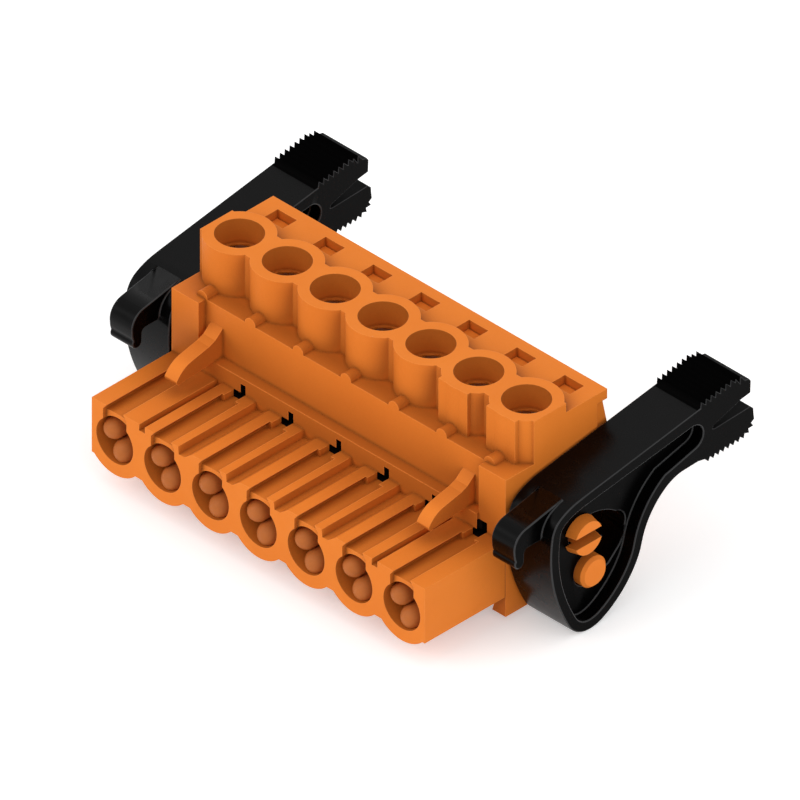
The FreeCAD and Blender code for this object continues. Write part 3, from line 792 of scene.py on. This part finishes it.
class StageOperator(bpy.types.Operator):
    """Set the floor, the lamps and the camera"""

    bl_idname = "terminal.stage"
    bl_label = "Stage"

    def execute(self, context):
        settings = context.scene.terminal_stage
        scene = context.scene
        scene.view_settings.view_transform = "Standard"
        self.floor(settings)
        self.world(scene, settings)
        self.lamps(scene, settings)
        self.camera(scene, settings)
        return {"FINISHED"}

    def floor(self, settings):
        material, tree = node_tree("pale_floor")
        shader = add(tree, "ShaderNodeBsdfPrincipled", {
            "Base Color": tuple(settings.floor_tone), "Roughness": 0.9, "Specular IOR Level": 0.1})
        glow = add(tree, "ShaderNodeEmission", {"Color": grey(1.0), "Strength": FLOOR_GLOW})
        lit = add(tree, "ShaderNodeAddShader")
        tree.links.new(shader.outputs["BSDF"], lit.inputs[0])
        tree.links.new(glow.outputs["Emission"], lit.inputs[1])
        pale = add(tree, "ShaderNodeMixShader")
        tree.links.new(seen_directly(tree), pale.inputs["Fac"])
        tree.links.new(shader.outputs["BSDF"], pale.inputs[1])
        tree.links.new(lit.outputs["Shader"], pale.inputs[2])
        link_surface(tree, pale.outputs["Shader"])
        bm = bmesh.new()
        bmesh.ops.create_grid(bm, x_segments=1, y_segments=1, size=FLOOR_HALF_WIDTH)
        bmesh.ops.translate(bm, verts=bm.verts, vec=(0, 0, cad_box[0][2]))
        piece_from(bm, "floor", material)

    def world(self, scene, settings):
        world = bpy.data.worlds.new("studio")
        world.use_nodes = True
        world.node_tree.nodes.clear()
        tree = world.node_tree
        even = add(tree, "ShaderNodeBackground",
                   {"Color": grey(1.0), "Strength": settings.sky_strength})
        white = add(tree, "ShaderNodeBackground", {"Color": grey(1.0), "Strength": 1.0})
        mix = add(tree, "ShaderNodeMixShader")
        tree.links.new(seen_directly(tree), mix.inputs["Fac"])
        tree.links.new(even.outputs["Background"], mix.inputs[1])
        tree.links.new(white.outputs["Background"], mix.inputs[2])
        link_surface(tree, mix.outputs["Shader"], "ShaderNodeOutputWorld")
        scene.world = world

    def lamps(self, scene, settings):
        plan = (
            ("key", (-0.30, -0.85, 0.62), settings.key_strength, 35.0),
            ("fill", (0.90, -0.10, 0.50), settings.fill_strength, 60.0),
        )
        for name, direction, strength, spread in plan:
            lamp = bpy.data.lights.new(name, "SUN")
            lamp.energy = strength
            lamp.angle = math.radians(spread)
            holder = bpy.data.objects.new(name, lamp)
            aim = Vector(direction).normalized()
            holder.matrix_world = backed_by(aim * STAND_OFF, aim)
            scene.collection.objects.link(holder)

    def camera(self, scene, settings):
        lens = bpy.data.cameras.new("camera")
        lens.type = "ORTHO"
        lens.ortho_scale = settings.view_width
        lens.clip_end = 10.0
        holder = bpy.data.objects.new("camera", lens)
        turn, lift = settings.azimuth, settings.elevation
        level = math.cos(lift)
        away = Vector((math.sin(turn) * level, -math.cos(turn) * level, math.sin(lift)))
        spot = Vector(settings.view_centre) + away * STAND_OFF
        holder.matrix_world = backed_by(spot, away)
        scene.collection.objects.link(holder)
        scene.camera = holder


class TerminalBlockPanel(bpy.types.Panel):
    """Lists the settings and the steps of the terminal block"""

    bl_idname = "VIEW3D_PT_terminal_block"
    bl_label = "Terminal Block"
    bl_space_type = "VIEW_3D"
    bl_region_type = "UI"
    bl_category = "Terminal Block"

    def draw(self, context):
        layout = self.layout
        for title, name in (("Plastic", "terminal_plastic"), ("Metal", "terminal_metal"),
                            ("Stage", "terminal_stage")):
            box = layout.box()
            box.label(text=title)
            settings = getattr(context.scene, name)
            for key in settings.__annotations__:
                box.prop(settings, key)
        for operator in STEPS:
            layout.operator(operator.bl_idname)


GROUPS = (
    ("terminal_plastic", PlasticSettings),
    ("terminal_metal", MetalSettings),
    ("terminal_stage", StageSettings),
)
STEPS = (
    StageOperator,
    HousingOperator,
    LeversOperator,
    ContactsOperator,
    YokesOperator,
    ScrewsOperator,
)


def register():
    for name, group in GROUPS:
        bpy.utils.register_class(group)
        setattr(bpy.types.Scene, name, bpy.props.PointerProperty(type=group))
    for operator in STEPS:
        bpy.utils.register_class(operator)
    bpy.utils.register_class(TerminalBlockPanel)


def unregister():
    bpy.utils.unregister_class(TerminalBlockPanel)
    for operator in reversed(STEPS):
        bpy.utils.unregister_class(operator)
    for name, group in reversed(GROUPS):
        delattr(bpy.types.Scene, name)
        bpy.utils.unregister_class(group)


def main():
    register()
    bpy.ops.terminal.stage()
    bpy.ops.terminal.housing()
    bpy.ops.terminal.levers()
    bpy.ops.terminal.contacts()
    bpy.ops.terminal.yokes()
    bpy.ops.terminal.screws()


if __name__ == "__main__":
    main()
